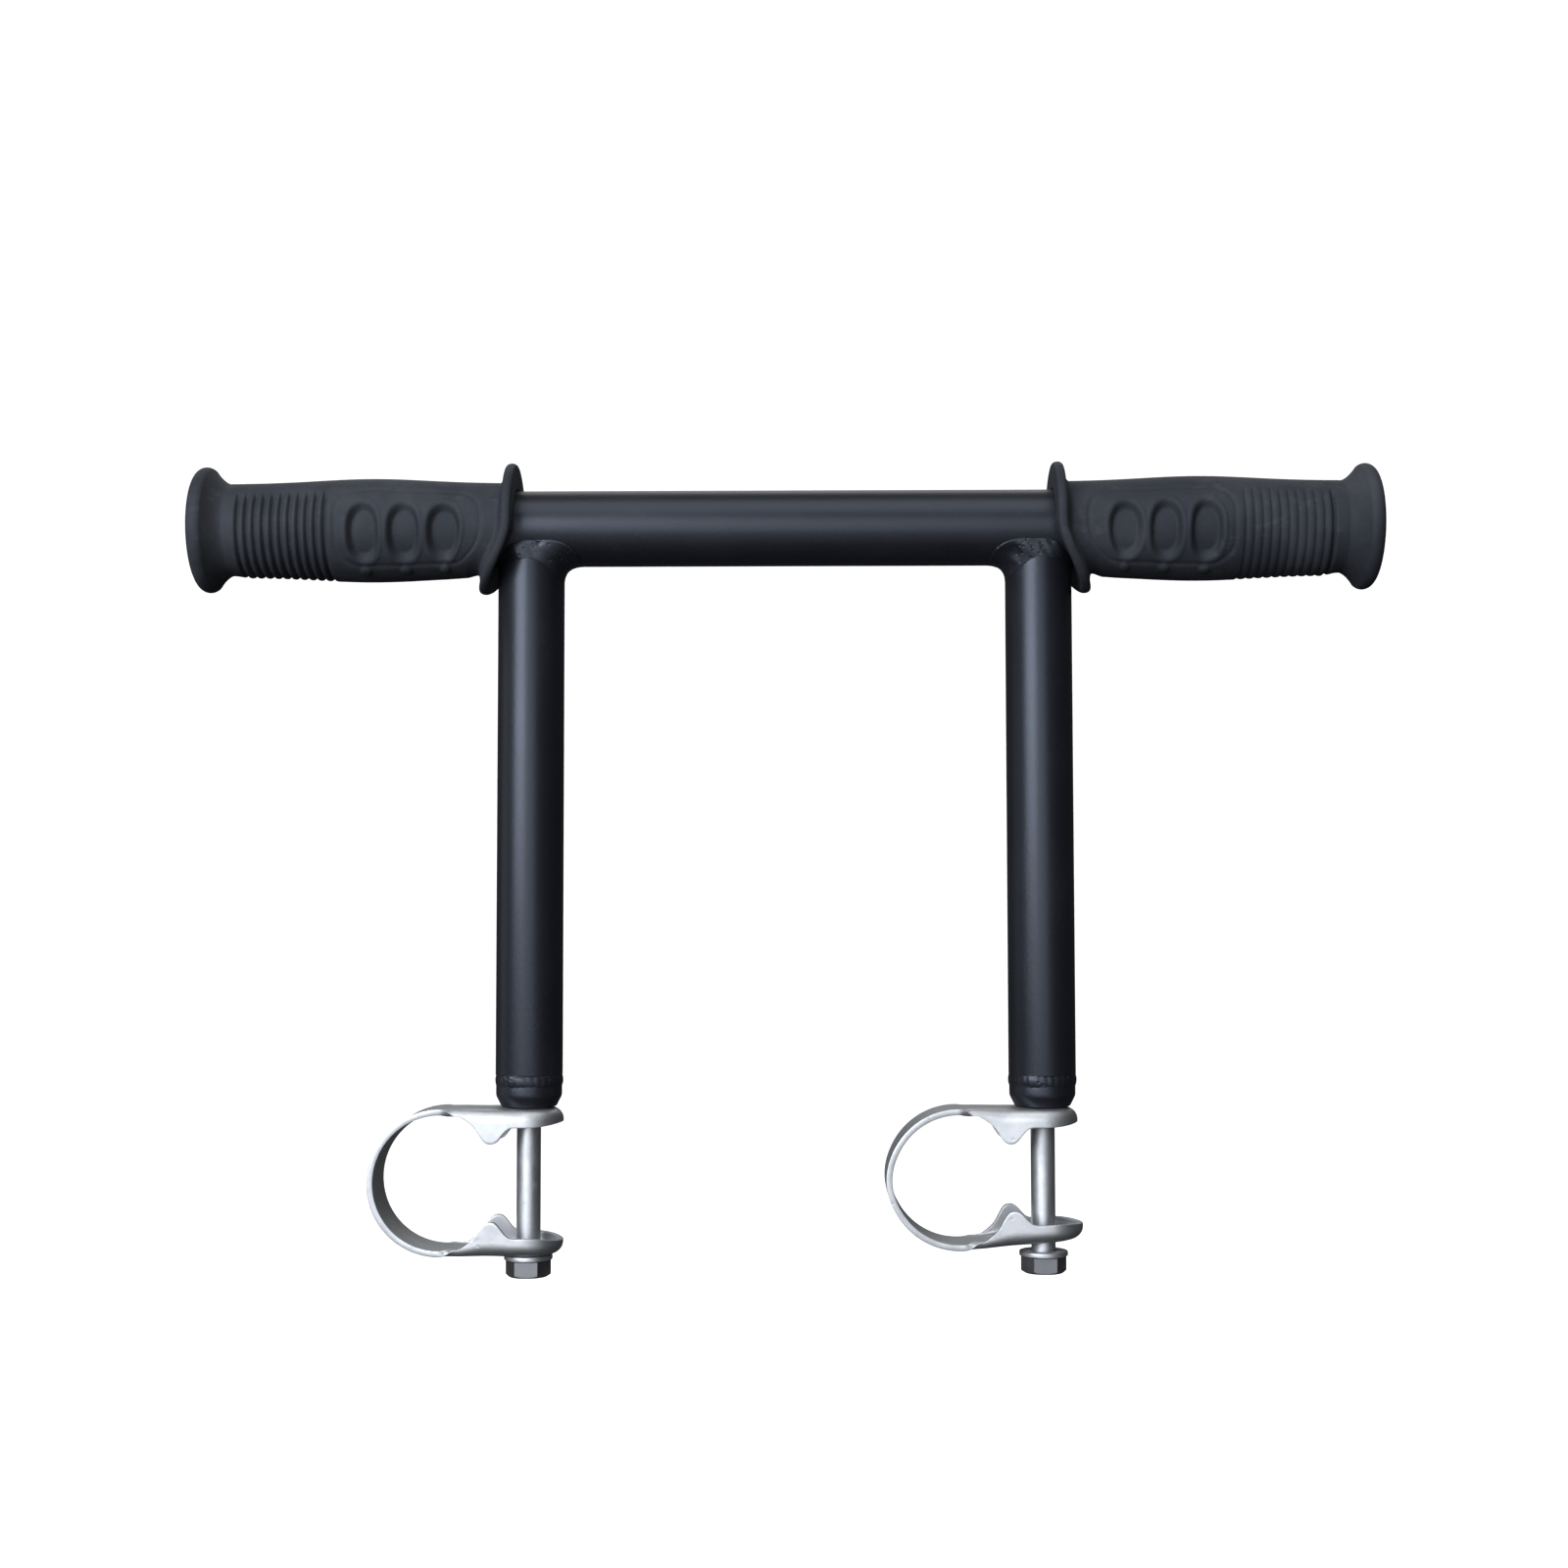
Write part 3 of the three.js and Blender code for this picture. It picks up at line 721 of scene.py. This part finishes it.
def grip_surface(side, sizes):
    """The outline turned about the cross tube, with the barrel's swell s exp(-((x - m) / w)^2), the sag
    g sin^2 a underneath and the moulded relief added to its radius."""
    axis, _ = tube_axis()
    outer = max(abs(corner[0]) for corner in limits(side + "_grip"))
    outline, is_barrel = grip_outline(outer, sizes)
    along, radius = outline[:, 0][:, None], outline[:, 1][:, None]
    a = turn(216)[None, :]
    degrees = (np.degrees(a) + 180.0) % 360.0 - 180.0
    groove_strength, sag_strength = GRIP_PATTERN[side]
    swell = sizes.swell * np.exp(-((along - SWELL_PLACE) / SWELL_SPREAD) ** 2)
    pattern = relief(along, degrees, radius + swell, sizes, groove_strength)
    sag = sizes.sag * sag_strength * np.maximum(-np.sin(a), 0.0) ** 2 * barrel_ends(along, outer)
    radius = radius + np.where(is_barrel[:, None], swell + pattern + sag, 0.0)
    y, height = -radius * np.cos(a), radius * np.sin(a)
    x = pushed(along + 0.0 * a, y, height)
    points = np.stack([SIGN[side] * x, y, axis + height], axis=-1)
    return Surface(points, wrap_rows=False)


class HANDBAR_OT_grips(bpy.types.Operator):
    """Build the two moulded rubber grips"""
    bl_idname = "handbar.grips"
    bl_label = "Rubber grips"

    def execute(self, context):
        for side in SIDES:
            fit_piece(context, side + "_grip_finished", [grip_surface(side, settings(context, "grip"))],
                      "frame", side + "_grip", "grip_rubber", sharp=60.0)
        return {"FINISHED"}


# ---------------------------------------------------------------- strip clamps

RING = {"offset": 0.028, "middle": 0.023, "inner": 0.022}  # bolt to ring centre, strip's middle, bore
STRIP_HALF = 0.010
EAR_HALF = 0.0115
SLOT = 0.0034  # how far the lower ear's hole runs back as a slot
SLOT_FADE = 0.018  # behind the bolt, where the strip is no longer stretched by the slot
BEND_REACH = 0.0105  # half the height over which the strip bends at the ring's back
REST_SWING = {"left": 0.0, "right": 5.0}  # degrees each lower jaw is sprung shut at rest
EDGE_ROUNDING = 0.00028
LOBE = {"place": -0.0113, "width": 0.0042, "depth": 0.0054}
NECK_FOLD = 0.0012  # bend radius where the wall starts
NECK_WALL = 0.0022  # width of strip that turns into the wall there
TIP_TRIM = 0.20  # how much shorter the wall is at the ear's tip than beside the bolt
WALL = 0.7  # how far the ear's square grid runs past its edge for the folded rim
WALL_DEEPENS, WALL_TURNS = (-0.0262, -0.0135), (-0.0282, -0.0230)  # stretches behind the bolt
FOLD_OPENS, EAR_WIDENS = (-0.0240, -0.0125), (-0.022, 0.0)


def ear_wall(x, sizes):
    """Fold angle, length and bend radius of the ear's side wall at a distance x from the bolt.
    Its depth grows to the rim's, with a rounded lobe: rim s(x) + l exp(-|(x - p) / w|^2.6)."""
    grow = smoothstep(*WALL_DEEPENS, x)
    lobe = np.exp(-np.abs((x - LOBE["place"]) / LOBE["width"]) ** 2.6)
    depth = sizes.rim * grow + LOBE["depth"] * lobe
    angle = 0.5 * math.pi * smoothstep(*WALL_TURNS, x)
    fold = NECK_FOLD + (sizes.fold - NECK_FOLD) * smoothstep(*FOLD_OPENS, x)
    fold = np.maximum(fold, NECK_WALL / np.maximum(angle, 0.05))
    depth = np.maximum(depth - 0.5 * sizes.strip * np.cos(angle) ** 2, 0.0)
    straight = (depth - fold * (1 - np.cos(angle))) / np.maximum(np.sin(angle), 0.12)
    return angle, np.maximum(fold * angle + straight, NECK_WALL), fold


def folded(angle, reach, fold):
    """Outward and downward travel after a length of wall: an arc of the fold, then straight on."""
    arc = np.minimum(reach, fold * angle) / fold
    rest = np.maximum(reach - fold * angle, 0.0)
    return fold * np.sin(arc) + rest * np.cos(angle), fold * (1 - np.cos(arc)) + rest * np.sin(angle)


def slot_slide(x, b, cut):
    """How much of the slot's length a point moves back by: all of it behind the hole's middle, none at
    the front, and dying away towards the ring and towards the side walls."""
    return (np.clip(-x / (0.45 * HOLE), 0.0, 1.0) * (1.0 - smoothstep(HOLE, SLOT_FADE, -x))
            * (1.0 - smoothstep(cut, 1.0, np.abs(b))))


def plate_half(x, folded_out, angle, sizes):
    """Half width of the flat between the side walls: the strip widens towards the ear behind the bolt,
    less what the folded wall takes."""
    edge = STRIP_HALF + (EAR_HALF - STRIP_HALF) * smoothstep(*EAR_WIDENS, x)
    return edge - folded_out - 0.5 * sizes.strip * np.sin(angle)


def half_clamp(sizes, slot):
    """The upper half of a clamp's strip about its bolt, as rows from the ear's end to the ring's back.
    The ear is a square grid pressed into a disc, (a, b) max(|a|, |b|) / |(a, b)|, so the hole is a block
    of squares; behind the bolt it eases back to a straight strip that runs round the ring."""
    end_angle, end_length, end_fold = ear_wall(np.array(0.0), sizes)
    past, _ = folded(end_angle, end_length, end_fold)
    disc = EAR_HALF - past - 0.5 * sizes.strip
    cut = HOLE / disc
    lines = np.concatenate([np.linspace(0.0, cut, 7), np.linspace(cut, 1.0, 7)[1:],
                            1.0 + WALL * np.linspace(0.0, 1.0, 14)[1:]])
    across = np.concatenate([-lines[::-1], lines[1:]])
    ear = np.concatenate([lines[::-1], -lines[1:13]])
    flat = np.linspace(-disc, -RING["offset"], 34)[1:]
    bend = np.linspace(0.0, math.pi / 2, 46)[1:]

    a, b = ear[:, None], across[None, :]
    front = a >= 0
    straight = np.minimum(np.abs(b), 1.0)
    c = np.where(front, np.maximum(np.abs(a), np.abs(b)), np.abs(b))
    c_in = np.minimum(np.maximum(np.abs(a), np.abs(b)), 1.0)
    length_ab = np.maximum(np.hypot(a, b), 1e-9)
    wall = np.clip((c - 1.0) / WALL, 0.0, 1.0)
    x_row = np.where(front, 0.0, a * disc)
    angle, wall_length, fold = ear_wall(x_row, sizes)
    trimmed = wall_length * (1.0 - TIP_TRIM * np.where(front, (a / length_ab) ** 2, 0.0))
    outward, down = folded(angle, wall * trimmed, fold)
    plate = plate_half(x_row, folded(angle, wall_length, fold)[0], angle, sizes)
    disc_x, disc_y = disc * c_in * a / length_ab, disc * c_in * b / length_ab
    rect_x, rect_y = a * disc, np.sign(b) * straight * plate
    ease = np.where(front, 0.0, smoothstep(cut + 0.02, 0.99, c_in))
    x = (1 - ease) * disc_x + ease * rect_x
    y = (1 - ease) * disc_y + ease * rect_y
    x = x + np.where(front, outward * a / length_ab, 0.0)
    y = y + outward * np.where(front, b / length_ab, np.sign(b))
    x = x - slot * slot_slide(x, b, cut)
    ear_points = np.stack([x, y, RING["middle"] - down], axis=-1)
    keep = np.maximum(np.abs(a), np.abs(b)) > cut + 1e-6

    x_row = np.concatenate([flat, np.full(len(bend), -RING["offset"])])[:, None]
    angle, wall_length, fold = ear_wall(x_row, sizes)
    wall = np.clip((np.abs(b) - 1.0) / WALL, 0.0, 1.0)
    outward, down = folded(angle, wall * wall_length, fold)
    plate = plate_half(x_row, folded(angle, wall_length, fold)[0], angle, sizes)
    y = np.sign(b) * (np.minimum(np.abs(b), 1.0) * plate + outward)
    round_angle = np.concatenate([np.zeros(len(flat)), bend])[:, None]
    radius = RING["middle"] - down
    x = x_row - radius * np.sin(round_angle) - slot * slot_slide(x_row, b, cut)
    strip_points = np.stack([x, y, radius * np.cos(round_angle)], axis=-1)
    points = np.concatenate([ear_points, strip_points])
    keep = np.concatenate([keep, np.ones(strip_points.shape[:2], bool)])
    return points, keep


def clamp_surface(side, sizes, closed):
    """Both halves of one strip: the lower is the upper turned over, swung shut about the ring's back by
    an angle that grows smoothly round the back of the ring."""
    upper, keep_upper = half_clamp(sizes, 0.0)
    lower, keep_lower = half_clamp(sizes, SLOT)
    lower = lower[::-1] * np.array([1.0, 1.0, -1.0])
    points = np.concatenate([upper, lower[1:]])
    keep = np.concatenate([keep_upper, keep_lower[::-1][1:]])
    pivot = -RING["offset"] - RING["middle"]
    behind = smoothstep(-BEND_REACH, BEND_REACH, -points[..., 2])
    swing = closed * np.where(points[..., 0] < -RING["offset"], behind, points[..., 2] < 0)
    x, z = points[..., 0] - pivot, points[..., 2]
    points[..., 0] = pivot + x * np.cos(swing) - z * np.sin(swing)
    points[..., 2] = x * np.sin(swing) + z * np.cos(swing)
    points[..., 0] += leg_axis(side)[0]
    return Surface(points, wrap_rows=False, wrap_columns=False, keep=keep)


class HANDBAR_OT_clamps(bpy.types.Operator):
    """Build the two pressed strip clamps, each one continuous strip that bends at the ring's back"""
    bl_idname = "handbar.clamps"
    bl_label = "Strip clamps"

    def execute(self, context):
        sizes = settings(context, "clamp")
        for side in SIDES:
            obj = make_piece(context, side + "_clamp_finished",
                             [clamp_surface(side, sizes, math.radians(REST_SWING[side]))], sharp=50.0)
            thick = obj.modifiers.new("Strip thickness", "SOLIDIFY")
            thick.thickness = sizes.strip
            thick.offset = 0.0
            soft = obj.modifiers.new("Edge rounding", "BEVEL")
            soft.width = EDGE_ROUNDING
            soft.segments = 2
            soft.limit_method = "ANGLE"
            soft.angle_limit = math.radians(50.0)
            obj.data.materials.append(finish_of(context, "zinc_strip"))
            pivot = leg_axis(side)[0] - RING["offset"] - RING["middle"]
            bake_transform(obj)
            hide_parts(side + "_clamp_upper", side + "_clamp_lower")
        return {"FINISHED"}


# ---------------------------------------------------------------- fasteners

HEAD_HEIGHT = 0.0053
HEX_CHAMFER = {"reach": 0.0012, "start": 0.965, "slope": 1.75, "soften": 0.00012}
SHANK = {"radius": 0.004, "thread_from": 0.050, "pitch": 0.00125, "depth": 0.00062,
         "run_out": 0.0025, "point": 0.0012, "taper": 0.0010}


def hexagon(angles, across_flats):
    """Radius of a hexagon with flats facing front and back: half its width over cos of the nearest
    flat's angle."""
    nearest = (angles - math.pi / 2 + math.pi / 6) % (math.pi / 3) - math.pi / 6
    return 0.5 * across_flats / np.cos(nearest)


def hex_surface(x, across_flats, bottom, top, bore, chamfers):
    """A chamfered hexagon from bottom to top: radius min(hexagon, cone from each chamfered end)."""
    a = turn(240)[None, :]
    tall, reach = top - bottom, HEX_CHAMFER["reach"]
    grow = np.concatenate([np.linspace(0.0, reach, 9), np.linspace(0.0014, tall - 0.0014, 6),
                           np.linspace(tall - reach, tall, 9)])[:, None]
    from_end = np.minimum(np.where(chamfers[0], grow, 1.0), np.where(chamfers[1], tall - grow, 1.0))
    cone = 0.5 * across_flats * HEX_CHAMFER["start"] + HEX_CHAMFER["slope"] * from_end
    six = smooth_min(hexagon(a, across_flats), cone, HEX_CHAMFER["soften"])
    radius = np.maximum(six, bore)
    z = bottom + grow + 0.0 * a
    walls = np.stack([x + radius * np.cos(a), radius * np.sin(a), z], axis=-1)
    hole = np.stack([x + bore * np.cos(a), bore * np.sin(a), 0.0 * a], axis=-1)
    floor, roof = hole + [0.0, 0.0, bottom], hole + [0.0, 0.0, top]
    return Surface(np.concatenate([floor, walls, roof]), wrap_rows=bore > 0)


def shank_surface(x, bottom, thread_from, top):
    """A rod of radius r - d w^1.3 from where its thread starts, w = 0.5 - 0.5 cos(2 pi z / pitch - a)."""
    a = turn(48)[None, :]
    z = np.concatenate([np.linspace(bottom, thread_from, 12), np.linspace(thread_from, top, 330)[1:]])
    z = z[:, None]
    depth = SHANK["depth"] * smoothstep(thread_from, thread_from + SHANK["run_out"], z)
    wave = 0.5 - 0.5 * np.cos(2.0 * math.pi * z / SHANK["pitch"] - a)
    taper = SHANK["taper"] * smoothstep(top - SHANK["point"], top, z)
    r = SHANK["radius"] - depth * wave ** 1.3 - taper
    walls = np.stack([x + r * np.cos(a), r * np.sin(a), z + 0.0 * a], axis=-1)
    ends = np.zeros((1, a.size, 3)) + [x, 0.0, 0.0]
    closed = np.concatenate([ends + [0.0, 0.0, bottom], walls, ends + [0.0, 0.0, top]])
    return Surface(closed, wrap_rows=False)


class HANDBAR_OT_bolts(bpy.types.Operator):
    """Build the long hexagon bolts"""
    bl_idname = "handbar.bolts"
    bl_label = "Hexagon bolts"

    def execute(self, context):
        for side in SIDES:
            x, _ = leg_axis(side)
            low, high = limits(side + "_bolt")
            head = low[2] + HEAD_HEIGHT
            flats = high[1] - low[1]
            hexagonal = hex_surface(x, flats, low[2], head, 0.0, (True, False))
            shank = shank_surface(x, head - 0.001, head + SHANK["thread_from"], high[2])
            obj = fit_piece(context, side + "_bolt_finished", [hexagonal, shank],
                            side + "_bolt", side + "_bolt", "zinc_fastener", sharp=32.0)
            obj.data.materials.append(finish_of(context, "bolt_head_zinc"))
            # Faces of the head take the darker bolt-head colour.
            middles = np.empty(3 * len(obj.data.polygons))
            obj.data.polygons.foreach_get("center", middles)
            in_head = middles.reshape(-1, 3)[:, 2] < head + 0.00005
            obj.data.polygons.foreach_set("material_index", in_head.astype(np.int32))
        return {"FINISHED"}


class HANDBAR_OT_washers(bpy.types.Operator):
    """Build the plain washers under the bolt heads"""
    bl_idname = "handbar.washers"
    bl_label = "Washers"

    def execute(self, context):
        for side in SIDES:
            low, high = limits(side + "_washer")
            radius = (high[0] - low[0]) / 2
            outline = rounded([(HOLE, low[2]), (radius, low[2]), (radius, high[2]), (HOLE, high[2])],
                              [0.0001, 0.0002, 0.0005, 0.0001])
            fit_piece(context, side + "_washer_finished", [turned_z(outline, (leg_axis(side)[0], 0.0))],
                      side + "_washer", side + "_washer", "zinc_fastener")
        return {"FINISHED"}


class HANDBAR_OT_nuts(bpy.types.Operator):
    """Build the nuts inside the feet that take the bolts"""
    bl_idname = "handbar.nuts"
    bl_label = "Nuts in the feet"

    def execute(self, context):
        for side in SIDES:
            low, high = limits(side + "_leg_nut")
            nut = hex_surface(leg_axis(side)[0], high[1] - low[1], low[2], high[2], HOLE, (True, True))
            fit_piece(context, side + "_nut_finished", [nut], "frame", side + "_leg_nut", "zinc_fastener")
        return {"FINISHED"}


# ---------------------------------------------------------------- studio

MIDDLE = (0.0, 0.0, 0.11)
WHITE, COOL = (1.0, 1.0, 1.0), (0.92, 0.95, 1.0)
LIGHTS = (  # name, place, target, size, watts, tint
    ("key", (-1.10, -1.50, 0.62), (0.0, 0.0, 0.13), (1.2, 1.0), 34.0, COOL),
    ("front", (-0.12, -1.75, 0.275), (-0.02, 0.0, 0.12), (1.5, 1.15), 12.0, COOL),
    ("top", (0.0, -0.75, 1.60), MIDDLE, (2.2, 1.2), 16.0, WHITE),
    ("left_side", (-1.9, 0.1, 0.25), MIDDLE, (0.9, 1.2), 2.0, WHITE),
    ("low_fill", (0.0, -1.2, -0.55), MIDDLE, (2.0, 0.8), 1.8, WHITE),
    ("back_top", (0.0, 1.1, 1.3), MIDDLE, (2.0, 0.8), 6.0, WHITE),
)
CAMERA = {"place": (0.0079, -0.7340, 0.0893), "yaw": 0.64, "pitch": 3.25, "roll": 0.09}  # degrees


def area_light(context, name, place, target, size, power, tint):
    data = bpy.data.lights.new(name, "AREA")
    data.shape = "RECTANGLE"
    data.size, data.size_y = size
    data.energy = power
    data.color = tint
    obj = bpy.data.objects.new(name, data)
    obj.location = place
    obj.rotation_euler = (Vector(target) - Vector(place)).to_track_quat("-Z", "Y").to_euler()
    context.scene.collection.objects.link(obj)


def sweep_surface(level):
    """A floor that curves up into a backdrop: a quarter circle between a level and an upright plane."""
    bend = np.linspace(0.0, math.pi / 2, 24)
    front, behind, radius, height, half_width = -4.0, 1.6, 1.2, 5.0, 6.0
    y = np.concatenate([[front], behind + radius * np.sin(bend), [behind + radius]])
    z = np.concatenate([[level], level + radius * (1 - np.cos(bend)), [level + height]])
    grid_x, grid_y = np.meshgrid(np.linspace(-half_width, half_width, 3), y)
    return Surface(np.stack([grid_x, grid_y, np.broadcast_to(z[:, None], grid_x.shape)], axis=-1),
                   wrap_rows=False, wrap_columns=False)


class HANDBAR_OT_stage(bpy.types.Operator):
    """Build the pale floor, the soft lights and the camera"""
    bl_idname = "handbar.stage"
    bl_label = "Studio"

    def execute(self, context):
        sizes = settings(context, "stage")
        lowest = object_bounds()[0][2]
        floor = make_piece(context, "studio_floor", [sweep_surface(lowest - sizes.floor_drop)],
                           sharp=180.0)
        g = Graph("studio_floor")
        tone = g.noise(1.5, 2.0)
        pale = g.blend(tuple(sizes.floor), (0.96, 0.96, 0.96), tone)
        floor.data.materials.append(g.finish(Base_Color=pale, Roughness=0.9, Emission_Color=pale,
                                             Emission_Strength=0.90, Specular_IOR_Level=0.1))
        floor.visible_glossy = False
        floor.visible_diffuse = False
        floor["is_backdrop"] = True

        world = bpy.data.worlds.new("studio")
        world.use_nodes = True
        background = world.node_tree.nodes["Background"]
        background.inputs["Color"].default_value = (0.93, 0.96, 1.0, 1.0)
        background.inputs["Strength"].default_value = 0.05
        context.scene.world = world
        for light in LIGHTS:
            area_light(context, *light)

        camera = bpy.data.cameras.new("camera")
        camera.sensor_width = 36.0
        camera.lens = sizes.lens
        camera.clip_start = 0.01
        obj = bpy.data.objects.new("camera", camera)
        looking = Matrix.Translation(CAMERA["place"])
        for angle, axis in (("yaw", "Z"), ("pitch", "X"), ("roll", "Y")):
            looking = looking @ Matrix.Rotation(math.radians(CAMERA[angle]), 4, axis)
        obj.matrix_world = looking @ Matrix.Rotation(math.pi / 2, 4, "X")
        context.scene.collection.objects.link(obj)
        context.scene.camera = obj
        context.scene.view_settings.view_transform = "Standard"
        context.scene.view_settings.look = "None"
        context.scene.view_settings.exposure = 0.0
        context.scene.view_settings.gamma = 1.0
        return {"FINISHED"}


# ---------------------------------------------------------------- add-on

OPERATORS = (
    HANDBAR_OT_cross_tube,
    HANDBAR_OT_legs,
    HANDBAR_OT_welds,
    HANDBAR_OT_grips,
    HANDBAR_OT_clamps,
    HANDBAR_OT_bolts,
    HANDBAR_OT_washers,
    HANDBAR_OT_nuts,
    HANDBAR_OT_stage,
)


class HANDBAR_PT_pieces(bpy.types.Panel):
    """Lists the pieces and their sizes"""
    bl_idname = "HANDBAR_PT_pieces"
    bl_label = "Hand bar"
    bl_space_type = "VIEW_3D"
    bl_region_type = "UI"
    bl_category = "Hand Bar"

    def draw(self, context):
        for operator in OPERATORS:
            self.layout.operator(operator.bl_idname)
        for group, kind in SETTINGS.items():
            box = self.layout.box()
            for name in kind.__annotations__:
                box.prop(settings(context, group), name)


CLASSES = (*SETTINGS.values(), *OPERATORS, HANDBAR_PT_pieces)


def register():
    for kind in CLASSES:
        bpy.utils.register_class(kind)
    for group, kind in SETTINGS.items():
        setattr(bpy.types.Scene, "handbar_" + group, PointerProperty(type=kind))


def unregister():
    for group in SETTINGS:
        delattr(bpy.types.Scene, "handbar_" + group)
    for kind in reversed(CLASSES):
        bpy.utils.unregister_class(kind)


def main():
    register()
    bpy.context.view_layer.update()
    for operator in OPERATORS:
        group, name = operator.bl_idname.split(".")
        getattr(getattr(bpy.ops, group), name)()


if __name__ == "__main__":
    main()
